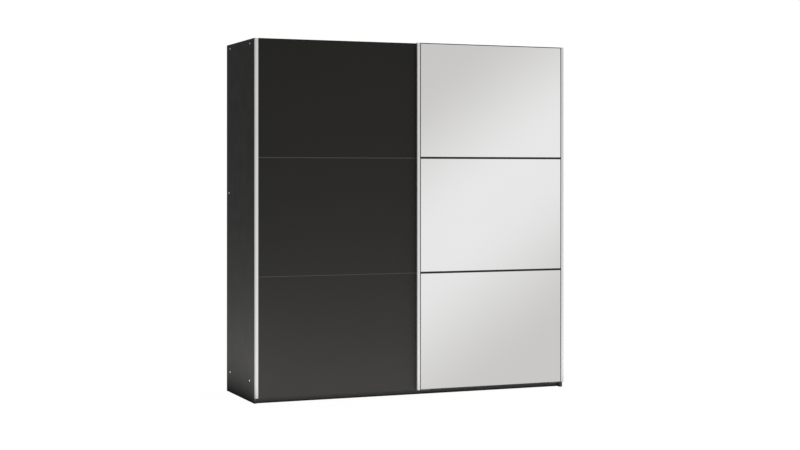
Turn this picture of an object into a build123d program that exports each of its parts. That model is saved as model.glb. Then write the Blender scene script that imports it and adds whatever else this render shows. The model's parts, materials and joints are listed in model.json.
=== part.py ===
"""Sliding door wardrobe: two overlay doors hung in front of a panel carcass.

Frame: +X to the viewer's right, +Y to the back, +Z up.  The origin lies on the floor, under the
middle of the whole piece.  All lengths are in millimetres.

The rear door closes the left half and the mirror door the right half.  Each door hangs on two
grooved wheels in its own lane of a runner track, and a blade at its foot runs in a guide rail.
"""
import os

from build123d import *

# ---- Overall ------------------------------------------------------------------------------
WIDTH = 2000.0                 # over the side panels
HEIGHT = 2125.0                # top of the side panels and of the mirror door
LEFT_SIDE_DEPTH = 586.0        # front to back of the left side panel
BOARD = 16.0                   # carcass board
LANE_PITCH = 26.0              # from one door's lane to the other's

# ---- Carcass ------------------------------------------------------------------------------
EDGE_RADIUS = 1.0              # rounded edge banding at the front of the side panels
TOP_PANEL_DROP = 18.0          # side panels stand this far above the top panel
PLINTH_HEIGHT = 115.0
PLINTH_RECESS = 11.0           # front plinth behind the left side panel's front edge
REAR_PLINTH_INSET = 40.0       # rear plinth in front of the back
PARTITION_SETBACK = 6.0
BACK_INSET = 10.0              # side panels stand this far behind the back sheets
BACK_SHEET = 3.0
BACK_GROOVE_PLAY = 0.4
BACK_GROOVE_DEPTH = 8.0
BACK_SHEET_PLAY = 1.0          # from a sheet's edge to the end of what holds it
JOINING_STRIP_WIDTH = 14.0
JOINING_STRIP_WALL = 1.0
JOINING_STRIP_PLAY = 0.1
REAR_RAIL_HEIGHT = 1218.0      # middle of the stiffening rail above the floor
REAR_RAIL_DEPTH = 80.0

# ---- Interior -----------------------------------------------------------------------------
SHELF_TOP = 1791.0
SHELF_SETBACK = 20.0
SHELF_PLAY = 1.0               # each end and at the back
SHELF_PIN_RADIUS = 2.5
SHELF_PIN_PLAY = 0.05
SHELF_PIN_HOLE_DEPTH = 7.0
SHELF_PIN_INSET = 37.0         # from a shelf's front and back edges
SHELF_PIN_SEAT = (8.0, 7.0, 3.0)
CLOTHES_RAIL_HEIGHT = 1715.0   # middle of the tube
CLOTHES_RAIL_SECTION = (15.0, 30.0)
CLOTHES_RAIL_WALL = 1.2
BRACKET_PLATE = 2.5
BRACKET_CUP_WALL = 2.0
BRACKET_CUP_LENGTH = 12.0
BRACKET_EAR = 11.0             # plate below and above the cup
RAIL_PLAY = 0.15

# ---- Carcass screws -------------------------------------------------------------------------
CARCASS_SCREW = (3.5, 50.0, 5.0, 2.4)   # shank radius, length, head radius, head height
SCREW_PLAY = 0.05
SCREW_SIDE_FRONT_TOP = 87.0    # screws from a side panel's front edge
SCREW_SIDE_FRONT_BOTTOM = 93.0
SCREW_SIDE_BACK = 76.0         # from the back edge

# ---- Doors --------------------------------------------------------------------------------
DOOR_DEPTH = 22.0              # front to back over the edge profiles
DOOR_GAP = 2.5                 # from the rear door's back to the left side panel
DOOR_FOOT = 32.0               # under the doors
REAR_DOOR_WIDTH = 1034.0
REAR_DOOR_DROP = 2.0           # rear door's top under the side panels' top
MIRROR_DOOR_WIDTH = 991.0
MIRROR_DOOR_INSET = 3.0        # closed mirror door inside the right side panel's face
DOOR_STOP_GAP = 2.0            # open rear door to the right side panel
PANEL_PITCH = 693.0            # height of the upper and the middle panel of a door
PROFILE_WIDTH = 17.0
PROFILE_WALL = 1.5
PROFILE_CHAMBER = 7.0          # outer face to the inner web
PROFILE_CORNER = 1.0
FINGER_SCOOP = 1.2             # hollow of the outer face, for the fingers
FINGER_SCOOP_MARGIN = 4.0
BOARD_END_PLAY = 0.5
MIRROR_THICKNESS = 3.0
MIRROR_MARGIN = 4.0
DIVIDER_WIDTH = 9.6
DIVIDER_PLAY = 0.2
DIVIDER_CROWN = 0.8
TRIM_GROOVE = (5.0, 1.5)       # width, depth
TRIM_WIDTH = 4.6
TRIM_PROUD = 0.6

# ---- Runner track, hangers and wheels ------------------------------------------------------
TRACK_FRONT = 1.5              # behind the left side panel's front edge
TRACK_WALL = 2.0
TRACK_FLOOR = 2.5
TRACK_LIP = 18.0               # height of the front wall
TRACK_FLANGE = 26.0            # flange over the top panel
BEAD_RADIUS = 2.5
BEAD_HEIGHT = 3.0
BEAD_PLAY = 0.3                # wheel groove above the bead
WHEEL_RADIUS = 12.5
WHEEL_GROOVE_RADIUS = 10.0     # rolling radius
WHEEL_WIDTH = 8.0
WHEEL_GROOVE_PLAY = 0.3        # each side of the bead at the wheel's rim
WHEEL_GROOVE_FLOOR = 3.2       # width of the groove at its bottom
WHEEL_RECESS = (9.0, 1.2)      # radius, depth
WHEEL_HUB_RADIUS = 4.5
AXLE_RADIUS = 2.5
AXLE_PLAY = 0.05
AXLE_HEAD = (4.0, 1.5)
AXLE_RING = (4.2, 1.0)
WHEEL_SIDE_PLAY = 0.4
STEEL = 2.5                    # hanger plate
HANGER_WIDTH = 70.0
HANGER_REACH_DOWN = 92.0       # hanger plate below the top of its door
HANGER_INSET = 90.0            # middle of a hanger from its door's edge
HANGER_CORNER = 6.0
HANGER_SLOT_SPACING = 44.0     # the two slots that set a door's height
HANGER_SLOT_DROP = 60.0        # their middle below the top of the door
HANGER_SLOT = (16.0, 4.6)      # length, width
CHEEK_WIDTH = 40.0
CHEEK_END_RADIUS = 7.0
ARM_CLEARANCE = 0.5            # mirror door's arms above the rear door
REAR_ARM_DROP = 0.2            # rear door's arms below its own top
STOP_BLOCK_LENGTH = 24.0
STOP_BLOCK_HEIGHT = 17.0
STOP_BLOCK_PLAY = 0.3
BUFFER_LENGTH = 6.0
BUFFER_CORNER = 3.0
BUFFER_GAP = 0.3

# ---- Guide rail and guides -----------------------------------------------------------------
GUIDE_WALL = 1.3
GUIDE_SLOT = 3.3
GUIDE_RAIL_BOTTOM = 36.0
GUIDE_RAIL_HEIGHT = 26.0
GUIDE_FLANGE = 18.0
GUIDE_WEB = 1.5
BLADE = 2.6
BLADE_LENGTH = 60.0
BLADE_TOP_PLAY = 2.5
GUIDE_STEEL = 2.0
GUIDE_INSET = 60.0             # middle of a guide from its door's edge
GUIDE_PLATE_HEIGHT = 60.0
GUIDE_TOE = 2.2                # arm beyond the middle of its blade
GUIDE_ARM_GAP = 2.0            # mirror door's arms under the rear door
GUIDE_CORNER = 4.0

# ---- Worked out from the sizes above --------------------------------------------------------
DOOR_STACK = DOOR_GAP + DOOR_DEPTH + LANE_PITCH
OVERALL_DEPTH = LEFT_SIDE_DEPTH + DOOR_STACK
FRONT = DOOR_STACK - OVERALL_DEPTH / 2          # y of the left side panel's front edge
BACK = OVERALL_DEPTH / 2
LEFT, RIGHT = -WIDTH / 2, WIDTH / 2
INNER_LEFT, INNER_RIGHT = LEFT + BOARD, RIGHT - BOARD

BACK_FACE = BACK - BACK_INSET - BACK_SHEET - BACK_GROOVE_PLAY   # back sheets' front face
TOP_PANEL_TOP = HEIGHT - TOP_PANEL_DROP
TOP_PANEL_BOTTOM = TOP_PANEL_TOP - BOARD
BOTTOM_PANEL_TOP = PLINTH_HEIGHT + BOARD
PLINTH_FACE = FRONT + PLINTH_RECESS

LANE_WIDTH = LANE_PITCH - TRACK_WALL
TRACK_DEPTH = 2 * LANE_PITCH + TRACK_WALL
TRACK_FACE = FRONT + TRACK_FRONT
TRACK_BACK = TRACK_FACE + TRACK_DEPTH
LANE_FLOOR = TOP_PANEL_BOTTOM + TRACK_FLOOR
REAR_LANE = TRACK_FACE + TRACK_WALL + LANE_WIDTH / 2            # middle of the rear door's lane
MIRROR_LANE = REAR_LANE + LANE_PITCH
AXLE_HEIGHT = LANE_FLOOR + BEAD_HEIGHT + BEAD_PLAY + WHEEL_GROOVE_RADIUS

REAR_DOOR_BACK = FRONT - DOOR_GAP
MIRROR_DOOR_BACK = REAR_DOOR_BACK - LANE_PITCH
REAR_DOOR_TOP = HEIGHT - REAR_DOOR_DROP
REAR_DOOR_LEFT = LEFT
MIRROR_DOOR_LEFT = RIGHT - MIRROR_DOOR_INSET - MIRROR_DOOR_WIDTH
REAR_DOOR_TRAVEL = INNER_RIGHT - DOOR_STOP_GAP - REAR_DOOR_WIDTH - REAR_DOOR_LEFT
MIRROR_DOOR_TRAVEL = MIRROR_DOOR_LEFT - (LEFT + MIRROR_DOOR_INSET)
REAR_ARM_BOTTOM = REAR_DOOR_TOP - REAR_ARM_DROP - STEEL
MIRROR_ARM_BOTTOM = REAR_DOOR_TOP + ARM_CLEARANCE

GUIDE_RAIL_DEPTH = 3 * GUIDE_WALL + 2 * GUIDE_SLOT
GUIDE_FACE = PLINTH_FACE - GUIDE_RAIL_DEPTH
REAR_SLOT = GUIDE_FACE + GUIDE_WALL + GUIDE_SLOT / 2
MIRROR_SLOT = REAR_SLOT + GUIDE_WALL + GUIDE_SLOT
BLADE_TOP = GUIDE_RAIL_BOTTOM + GUIDE_RAIL_HEIGHT - GUIDE_WEB - BLADE_TOP_PLAY

MIRROR_BOARD = DOOR_DEPTH - 2 * PROFILE_WALL - MIRROR_THICKNESS
MIRROR_SPAN = (
    MIRROR_DOOR_LEFT + PROFILE_WIDTH + MIRROR_MARGIN,
    MIRROR_DOOR_LEFT + MIRROR_DOOR_WIDTH - PROFILE_WIDTH - MIRROR_MARGIN,
)
REAR_PLINTH_FACE = BACK_FACE - REAR_PLINTH_INSET - BOARD

SHELF_BOTTOM = SHELF_TOP - BOARD
SHELF_FRONT = FRONT + SHELF_SETBACK
SHELF_BACK = BACK_FACE - JOINING_STRIP_WALL - SHELF_PLAY
PIN_ROWS = (SHELF_FRONT + SHELF_PIN_INSET, SHELF_BACK - SHELF_PIN_INSET)
PIN_HEIGHT = SHELF_BOTTOM - SHELF_PIN_SEAT[2] / 2
CLOTHES_RAIL_Y = (FRONT + BACK_FACE) / 2
BAYS = ((INNER_LEFT, -BOARD / 2), (BOARD / 2, INNER_RIGHT))     # left and right compartment
HANGER_OFFSETS = (HANGER_INSET, -HANGER_INSET)
GUIDE_OFFSETS = (GUIDE_INSET, -GUIDE_INSET)


# ---- Helpers ------------------------------------------------------------------------------
def block(x, y, z):
    """A box from three (low, high) pairs."""
    size = [high - low for low, high in (x, y, z)]
    middle = [(high + low) / 2 for low, high in (x, y, z)]
    return Pos(*middle) * Box(*size)


def group(solids):
    """Separate solids kept together in one sub-part."""
    return Compound(children=list(solids))


def ends(left, right, offsets):
    """Places measured inwards from a door's left and right edges."""
    return [left + offset if offset > 0 else right + offset for offset in offsets]


def rod(radius, start, end, direction):
    """A cylinder along an axis direction, from start to end measured from the origin."""
    plane = Plane(origin=(0, 0, 0), z_dir=direction)
    return plane.location * Pos(0, 0, (start + end) / 2) * Cylinder(radius, end - start)


def turned(outline, place, direction):
    """Revolve (radius, along) points about an axis direction through a place."""
    face = make_face(Polyline(*[(radius, 0, along) for radius, along in outline], close=True))
    solid = revolve(face, Axis.Z)
    return Plane(origin=place, z_dir=direction).location * solid


def carcass_screw(place, direction):
    """A countersunk screw whose head is flush at place; direction points out of the head."""
    shank, length, head, head_height = CARCASS_SCREW
    outline = [(0, 0), (head, 0), (shank, -head_height), (shank, -length), (0, -length)]
    return turned(outline, place, direction)


def screw_hole(place, direction):
    """Room for a carcass screw with a little play, open at its head."""
    shank, length, head, head_height = CARCASS_SCREW
    outline = [
        (0, SCREW_PLAY),
        (head + 2 * SCREW_PLAY, SCREW_PLAY),
        (head + SCREW_PLAY, 0),
        (shank + SCREW_PLAY, -head_height),
        (shank + SCREW_PLAY, -length - SCREW_PLAY),
        (0, -length - SCREW_PLAY),
    ]
    return turned(outline, place, direction)


# ---- Screw places, shared by the screws and by the boards they go through --------------------
def screw_places():
    """Five screws in each side panel: place of the head and the way it faces."""
    top = TOP_PANEL_BOTTOM + BOARD / 2
    bottom = PLINTH_HEIGHT + BOARD / 2
    rows = [
        (FRONT + SCREW_SIDE_FRONT_TOP, top),
        (BACK - SCREW_SIDE_BACK, top),
        (BACK_FACE - REAR_RAIL_DEPTH / 2, REAR_RAIL_HEIGHT),
        (BACK - SCREW_SIDE_BACK, bottom),
        (FRONT + SCREW_SIDE_FRONT_BOTTOM, bottom),
    ]
    places = [((LEFT, y, z), (-1, 0, 0)) for y, z in rows]
    places += [((RIGHT, y, z), (1, 0, 0)) for y, z in rows]
    return places


def drill(board):
    """Cut the holes of the carcass screws that reach a board."""
    for place, direction in screw_places():
        board -= screw_hole(place, direction)
    return board


def pin_places():
    """The side each shelf pin sticks out of, as (x of the face, way into the bay, y)."""
    return [(x, way, y) for low, high in BAYS for x, way in ((low, 1), (high, -1)) for y in PIN_ROWS]


def drill_for_pins(board, faces):
    """A hole for each shelf pin, into the faces named by their x."""
    radius = SHELF_PIN_RADIUS + SHELF_PIN_PLAY
    for x, way, y in pin_places():
        if x in faces:
            start, end = sorted((x, x - way * SHELF_PIN_HOLE_DEPTH))
            board -= Pos(0, y, PIN_HEIGHT) * rod(radius, start, end, (1, 0, 0))
    return board


# ---- Carcass ------------------------------------------------------------------------------
def side_panel(outer, inner, front):
    """A side board with rounded front edges, a groove for the back, and its holes."""
    inward = 1 if inner > outer else -1
    panel = block(sorted((outer, inner)), (front, BACK), (0, HEIGHT))
    panel = fillet(panel.edges().filter_by(Axis.Z).group_by(Axis.Y)[0], EDGE_RADIUS)
    groove = sorted((inner, inner - inward * BACK_GROOVE_DEPTH))
    panel -= block(groove, (BACK_FACE, BACK - BACK_INSET), (0, HEIGHT))
    return drill_for_pins(drill(panel), [inner])


def centre_partition():
    depth = (FRONT + PARTITION_SETBACK, BACK_FACE)
    board = block((-BOARD / 2, BOARD / 2), depth, (BOTTOM_PANEL_TOP, TOP_PANEL_BOTTOM))
    return drill_for_pins(board, [-BOARD / 2, BOARD / 2])


def top_panel():
    panel = block((INNER_LEFT, INNER_RIGHT), (TRACK_BACK, BACK_FACE), (TOP_PANEL_BOTTOM, TOP_PANEL_TOP))
    return drill(panel)


def bottom_panel():
    panel = block((INNER_LEFT, INNER_RIGHT), (PLINTH_FACE, BACK_FACE), (PLINTH_HEIGHT, BOTTOM_PANEL_TOP))
    return drill(panel)


def front_plinth():
    return block((INNER_LEFT, INNER_RIGHT), (PLINTH_FACE, PLINTH_FACE + BOARD), (0, PLINTH_HEIGHT))


def rear_plinth():
    depth = (REAR_PLINTH_FACE, REAR_PLINTH_FACE + BOARD)
    return block((INNER_LEFT, INNER_RIGHT), depth, (0, PLINTH_HEIGHT))


def plinth_brace():
    return block((-BOARD / 2, BOARD / 2), (PLINTH_FACE + BOARD, REAR_PLINTH_FACE), (0, PLINTH_HEIGHT))


def rear_rail(bay):
    """A flat board that stiffens the back halfway up one compartment."""
    height = (REAR_RAIL_HEIGHT - BOARD / 2, REAR_RAIL_HEIGHT + BOARD / 2)
    return drill(block(bay, (BACK_FACE - REAR_RAIL_DEPTH, BACK_FACE), height))


def back_sheets():
    """Four thin sheets: grooved into the sides, joined by strips, meeting behind the partition."""
    edge = JOINING_STRIP_WALL / 2 + BACK_SHEET_PLAY
    into_groove = BACK_GROOVE_DEPTH - BACK_SHEET_PLAY
    sheets = []
    for low, high in BAYS:
        joint = (low + high) / 2
        outer_low = low - into_groove if low == INNER_LEFT else BACK_SHEET_PLAY / 2
        outer_high = high + into_groove if high == INNER_RIGHT else -BACK_SHEET_PLAY / 2
        sheets += [(outer_low, joint - edge), (joint + edge, outer_high)]
    depth = (BACK_FACE, BACK_FACE + BACK_SHEET)
    return [block(sheet, depth, (PLINTH_HEIGHT, TOP_PANEL_TOP)) for sheet in sheets]


def joining_strips():
    """H-shaped strips that hold the sheets' edges between the carcass boards."""
    slot = BACK_SHEET + 2 * JOINING_STRIP_PLAY
    front = BACK_FACE - JOINING_STRIP_PLAY - JOINING_STRIP_WALL
    spans = (
        (BOTTOM_PANEL_TOP, REAR_RAIL_HEIGHT - BOARD / 2),
        (REAR_RAIL_HEIGHT + BOARD / 2, TOP_PANEL_BOTTOM),
    )
    section = Rectangle(JOINING_STRIP_WIDTH, slot + 2 * JOINING_STRIP_WALL)
    half = JOINING_STRIP_WIDTH / 2
    for side in (-1, 1):
        middle = side * (half + JOINING_STRIP_WALL / 2) / 2
        section -= Pos(middle, 0) * Rectangle(half - JOINING_STRIP_WALL / 2, slot)
    y = front + JOINING_STRIP_WALL + slot / 2
    return group(
        Pos((low + high) / 2, y, bottom) * extrude(section, top - bottom)
        for low, high in BAYS
        for bottom, top in spans
    )


# ---- Interior -----------------------------------------------------------------------------
def hat_shelf(bay):
    span = (bay[0] + SHELF_PLAY, bay[1] - SHELF_PLAY)
    shelf = block(span, (SHELF_FRONT, SHELF_BACK), (SHELF_BOTTOM, SHELF_TOP))
    return fillet(shelf.edges().filter_by(Axis.X).group_by(Axis.Y)[0], EDGE_RADIUS)


def shelf_pins():
    """A flat seat under the shelf on a round shank in the board's hole."""
    length, breadth, height = SHELF_PIN_SEAT
    pins = []
    for x, way, y in pin_places():
        reach = sorted((x, x + way * length))
        seat = block(reach, (y - breadth / 2, y + breadth / 2), (-height / 2, height / 2))
        start, end = sorted((x - way * (SHELF_PIN_HOLE_DEPTH - SHELF_PLAY / 2), x))
        shank = Pos(0, y, 0) * rod(SHELF_PIN_RADIUS, start, end, (1, 0, 0))
        pins.append(Pos(0, 0, PIN_HEIGHT) * (seat + shank))
    return group(pins)


def oval(grow):
    """The clothes rail's outline, grown by a margin, standing on edge across the bay."""
    breadth, height = CLOTHES_RAIL_SECTION
    return Plane.YZ * Rot(0, 0, 90) * SlotOverall(height + 2 * grow, breadth + 2 * grow)


def clothes_rail(bay):
    start, end = bay[0] + BRACKET_PLATE + RAIL_PLAY, bay[1] - BRACKET_PLATE - RAIL_PLAY
    tube = extrude(oval(0) - oval(-CLOTHES_RAIL_WALL), end - start)
    return Pos(start, CLOTHES_RAIL_Y, CLOTHES_RAIL_HEIGHT) * tube


def rail_brackets():
    """A screwed plate with an oval cup for each end of each clothes rail."""
    breadth, height = CLOTHES_RAIL_SECTION
    plate_size = (breadth + 2 * BRACKET_CUP_WALL, height + 2 * BRACKET_CUP_WALL + 2 * BRACKET_EAR)
    brackets = []
    for low, high in BAYS:
        for x, way in ((low, 1), (high, -1)):
            plate = extrude(Plane.YZ * Rectangle(*plate_size), way * BRACKET_PLATE)
            cup = extrude(oval(BRACKET_CUP_WALL) - oval(RAIL_PLAY), way * BRACKET_CUP_LENGTH)
            bracket = plate + Pos(way * BRACKET_PLATE, 0, 0) * cup
            brackets.append(Pos(x, CLOTHES_RAIL_Y, CLOTHES_RAIL_HEIGHT) * bracket)
    return group(brackets)


# ---- Runner track and guide rail -------------------------------------------------------------
def strip(low, high, bottom, top):
    """A rectangle in a section whose first axis is y and whose second is z."""
    return Pos((low + high) / 2, (bottom + top) / 2) * Rectangle(high - low, top - bottom)


def bead(lane, grow=0.0):
    """The round-topped bead that the wheels run on."""
    radius = BEAD_RADIUS + grow
    neck = LANE_FLOOR + BEAD_HEIGHT - BEAD_RADIUS
    return Pos(lane, neck) * Circle(radius) + strip(lane - radius, lane + radius, LANE_FLOOR, neck)


def runner_track():
    """An extrusion with two lanes, a bead in each, and a flange over the top panel."""
    section = strip(TRACK_FACE, TRACK_BACK, TOP_PANEL_BOTTOM, LANE_FLOOR)
    for index in range(2):
        wall = TRACK_FACE + index * LANE_PITCH
        section += strip(wall, wall + TRACK_WALL, TOP_PANEL_BOTTOM, TOP_PANEL_BOTTOM + TRACK_LIP)
    flange_top = TOP_PANEL_TOP + TRACK_WALL
    section += strip(TRACK_BACK - TRACK_WALL, TRACK_BACK, TOP_PANEL_BOTTOM, flange_top)
    section += strip(TRACK_BACK, TRACK_BACK + TRACK_FLANGE, TOP_PANEL_TOP, flange_top)
    for lane in (REAR_LANE, MIRROR_LANE):
        section += bead(lane) - strip(lane - BEAD_RADIUS, lane + BEAD_RADIUS, TOP_PANEL_BOTTOM, LANE_FLOOR)
    return Pos(INNER_LEFT, 0, 0) * extrude(Plane.YZ * section, INNER_RIGHT - INNER_LEFT)


def stop_faces():
    """Where each hanger stops: (x of the cheek's edge at the stop, way to the buffer, lane)."""
    half = CHEEK_WIDTH / 2
    faces = []
    for left, width, low, high, lane in (
        (REAR_DOOR_LEFT, REAR_DOOR_WIDTH, 0, REAR_DOOR_TRAVEL, REAR_LANE),
        (MIRROR_DOOR_LEFT, MIRROR_DOOR_WIDTH, -MIRROR_DOOR_TRAVEL, 0, MIRROR_LANE),
    ):
        faces.append((left + low + HANGER_INSET - half - BUFFER_GAP, -1, lane))
        faces.append((left + width + high - HANGER_INSET + half + BUFFER_GAP, 1, lane))
    return faces


def stop_blocks():
    """Blocks that sit over the bead at both ends of each lane."""
    blocks = []
    half = LANE_WIDTH / 2 - STOP_BLOCK_PLAY
    for face, way, lane in stop_faces():
        near = face + way * BUFFER_LENGTH
        span = sorted((near, near + way * STOP_BLOCK_LENGTH))
        body = block(span, (lane - half, lane + half), (LANE_FLOOR, LANE_FLOOR + STOP_BLOCK_HEIGHT))
        body = fillet(body.edges().filter_by(Axis.Y).group_by(Axis.Z)[-1], BUFFER_CORNER)
        slot = extrude(Plane.YZ * bead(lane, STOP_BLOCK_PLAY), STOP_BLOCK_LENGTH)
        blocks.append(body - Pos(span[0], 0, 0) * slot)
    return group(blocks)


def stop_buffers():
    """Soft noses on the stop blocks, facing the hangers."""
    buffers = []
    half = LANE_WIDTH / 2 - BUFFER_CORNER
    bottom = LANE_FLOOR + BEAD_HEIGHT + BEAD_PLAY
    top = LANE_FLOOR + STOP_BLOCK_HEIGHT - BUFFER_CORNER
    for face, way, lane in stop_faces():
        nose = block(sorted((face, face + way * BUFFER_LENGTH)), (lane - half, lane + half), (bottom, top))
        front = nose.edges().filter_by(Axis.Y).group_by(Axis.X)[0 if way > 0 else -1]
        buffers.append(fillet(front, BUFFER_CORNER))
    return group(buffers)


def guide_rail():
    """Two slots open at the bottom, with a flange that lies against the plinth."""
    top = GUIDE_RAIL_BOTTOM + GUIDE_RAIL_HEIGHT
    section = strip(GUIDE_FACE, PLINTH_FACE, GUIDE_RAIL_BOTTOM, top)
    for slot in (REAR_SLOT, MIRROR_SLOT):
        section -= strip(slot - GUIDE_SLOT / 2, slot + GUIDE_SLOT / 2, GUIDE_RAIL_BOTTOM, top - GUIDE_WEB)
    section += strip(PLINTH_FACE - GUIDE_WALL, PLINTH_FACE, top, top + GUIDE_FLANGE)
    return Pos(INNER_LEFT, 0, 0) * extrude(Plane.YZ * section, INNER_RIGHT - INNER_LEFT)


# ---- Doors --------------------------------------------------------------------------------
def edge_profile(edge, way, back, top):
    """The upright extrusion on a door's edge: a hollow grip and a channel for the board."""
    outline = Pos(PROFILE_WIDTH / 2, -DOOR_DEPTH / 2) * Rectangle(PROFILE_WIDTH, DOOR_DEPTH)
    outline = fillet(outline.vertices().group_by(Axis.X)[0], PROFILE_CORNER)
    inside = (PROFILE_WALL - DOOR_DEPTH, -PROFILE_WALL)
    outline -= strip(PROFILE_WALL + FINGER_SCOOP, PROFILE_CHAMBER, *inside)
    outline -= strip(PROFILE_CHAMBER + PROFILE_WALL, PROFILE_WIDTH, *inside)
    chord = DOOR_DEPTH - 2 * FINGER_SCOOP_MARGIN
    scoop = (chord**2 / 4 + FINGER_SCOOP**2) / (2 * FINGER_SCOOP)
    outline -= Pos(FINGER_SCOOP - scoop, -DOOR_DEPTH / 2) * Circle(scoop)
    profile = extrude(outline, top - DOOR_FOOT)
    if way < 0:
        profile = mirror(profile, about=Plane.YZ)
    return Pos(edge, back, DOOR_FOOT) * profile


def door_board(left, width, top, back, thickness):
    """The board that stands in both edge profiles."""
    inset = PROFILE_CHAMBER + PROFILE_WALL + BOARD_END_PLAY
    rear = back - PROFILE_WALL
    return block((left + inset, left + width - inset), (rear - thickness, rear), (DOOR_FOOT, top))


def joint_heights(top):
    """Heights of the two lines that part a door into three panels."""
    return (top - PANEL_PITCH, top - 2 * PANEL_PITCH)


def rear_door_board():
    thickness = DOOR_DEPTH - 2 * PROFILE_WALL
    board = door_board(REAR_DOOR_LEFT, REAR_DOOR_WIDTH, REAR_DOOR_TOP, REAR_DOOR_BACK, thickness)
    width, depth = TRIM_GROOVE
    face = REAR_DOOR_BACK - PROFILE_WALL - thickness
    span = (REAR_DOOR_LEFT, REAR_DOOR_LEFT + REAR_DOOR_WIDTH)
    for height in joint_heights(REAR_DOOR_TOP):
        board -= block(span, (face, face + depth), (height - width / 2, height + width / 2))
    return board


def rear_door_trims():
    """Slim crowned strips let into the board's grooves, between the edge profiles."""
    face = REAR_DOOR_BACK - DOOR_DEPTH + PROFILE_WALL
    bottom = face + TRIM_GROOVE[1]
    half = TRIM_WIDTH / 2
    shoulder = (face, half)
    outline = Polyline((bottom, half), shoulder)
    outline += ThreePointArc(shoulder, (face - TRIM_PROUD, 0), (face, -half))
    outline += Polyline((face, -half), (bottom, -half), (bottom, half))
    length = REAR_DOOR_WIDTH - 2 * PROFILE_WIDTH
    bar = Pos(REAR_DOOR_LEFT + PROFILE_WIDTH, 0, 0) * extrude(Plane.YZ * make_face(outline), length)
    return group(Pos(0, 0, height) * bar for height in joint_heights(REAR_DOOR_TOP))


def mirror_panes():
    """Upper, middle and lower mirror, in that order."""
    face = MIRROR_DOOR_BACK - PROFILE_WALL - MIRROR_BOARD
    upper, lower = joint_heights(HEIGHT)
    gap = DIVIDER_WIDTH / 2 + DIVIDER_PLAY
    heights = (
        (upper + gap, HEIGHT - MIRROR_MARGIN),
        (lower + gap, upper - gap),
        (DOOR_FOOT + MIRROR_MARGIN, lower - gap),
    )
    return [block(MIRROR_SPAN, (face - MIRROR_THICKNESS, face), height) for height in heights]


def mirror_door_dividers():
    """Bars between the mirrors, level with their faces."""
    face = MIRROR_DOOR_BACK - PROFILE_WALL - MIRROR_BOARD
    bars = []
    for height in joint_heights(HEIGHT):
        rise = (height - DIVIDER_WIDTH / 2, height + DIVIDER_WIDTH / 2)
        bar = block(MIRROR_SPAN, (face - MIRROR_THICKNESS, face), rise)
        bars.append(fillet(bar.edges().filter_by(Axis.X).group_by(Axis.Y)[0], DIVIDER_CROWN))
    return group(bars)


# ---- Hangers and wheels ----------------------------------------------------------------------
def hanger_plate(middle, board_back, top, arm_bottom):
    """The plate on the back of a door, with two slots that set the door's height."""
    half = HANGER_WIDTH / 2
    rise = (top - HANGER_REACH_DOWN, arm_bottom)
    plate = block((middle - half, middle + half), (board_back, board_back + STEEL), rise)
    plate = chamfer(plate.edges().filter_by(Axis.Y).group_by(Axis.Z)[0], HANGER_CORNER)
    slot = extrude(Plane.XZ * Rot(0, 0, 90) * SlotOverall(*HANGER_SLOT), -STEEL)
    for side in (-1, 1):
        plate -= Pos(middle + side * HANGER_SLOT_SPACING / 2, board_back, top - HANGER_SLOT_DROP) * slot
    return plate


def hanger_arm(middle, board_back, lane, arm_bottom):
    """The flat arm from the plate to the lane, narrowing towards the wheel."""
    plate_back, reach = board_back + STEEL, cheek_back(lane)
    near, far = HANGER_WIDTH / 2, CHEEK_WIDTH / 2
    right_side = [(near, board_back), (near, plate_back), (far, reach)]
    left_side = [(-x, y) for x, y in reversed(right_side)]
    outline = make_face(Polyline(*right_side, *left_side, close=True))
    return Pos(middle, 0, arm_bottom) * extrude(outline, STEEL)


def hanger_cheek(middle, lane, arm_bottom):
    """The hanging plate beside the wheel, rounded about the axle."""
    back = cheek_back(lane)
    half = CHEEK_WIDTH / 2
    bottom = AXLE_HEIGHT - CHEEK_END_RADIUS
    cheek = block((middle - half, middle + half), (back - STEEL, back), (bottom, arm_bottom))
    cheek = fillet(cheek.edges().filter_by(Axis.Y).group_by(Axis.Z)[0], CHEEK_END_RADIUS)
    return cheek - Pos(middle, 0, AXLE_HEIGHT) * rod(AXLE_RADIUS + AXLE_PLAY, back - STEEL, back, (0, 1, 0))


def cheek_back(lane):
    """y of a cheek's face that looks at its wheel."""
    return lane - WHEEL_WIDTH / 2 - WHEEL_SIDE_PLAY


def axle(middle, lane):
    """A headed pin through the cheek and the wheel, with a ring on its end."""
    front = cheek_back(lane) - STEEL
    ring = lane + WHEEL_WIDTH / 2 + WHEEL_SIDE_PLAY
    head_radius, head = AXLE_HEAD
    ring_radius, ring_width = AXLE_RING
    pin = rod(AXLE_RADIUS, front, ring, (0, 1, 0))
    pin += rod(head_radius, front - head, front, (0, 1, 0))
    pin += rod(ring_radius, ring, ring + ring_width, (0, 1, 0))
    return Pos(middle, 0, AXLE_HEIGHT) * pin


def wheel(middle, lane):
    """A roller whose tapering groove fits over the bead, with a hub in a shallow recess behind."""
    half = WHEEL_WIDTH / 2
    bore = AXLE_RADIUS + AXLE_PLAY
    recess_radius, recess = WHEEL_RECESS
    rim, floor = BEAD_RADIUS + WHEEL_GROOVE_PLAY, WHEEL_GROOVE_FLOOR / 2
    groove = [(WHEEL_RADIUS, -rim), (WHEEL_GROOVE_RADIUS, -floor)]
    groove += [(radius, -along) for radius, along in reversed(groove)]
    outline = [(bore, -half), (WHEEL_RADIUS, -half), *groove, (WHEEL_RADIUS, half), (recess_radius, half)]
    outline += [(recess_radius, half - recess), (WHEEL_HUB_RADIUS, half - recess)]
    outline += [(WHEEL_HUB_RADIUS, half), (bore, half)]
    return turned(outline, (middle, lane, AXLE_HEIGHT), (0, 1, 0))


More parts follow.
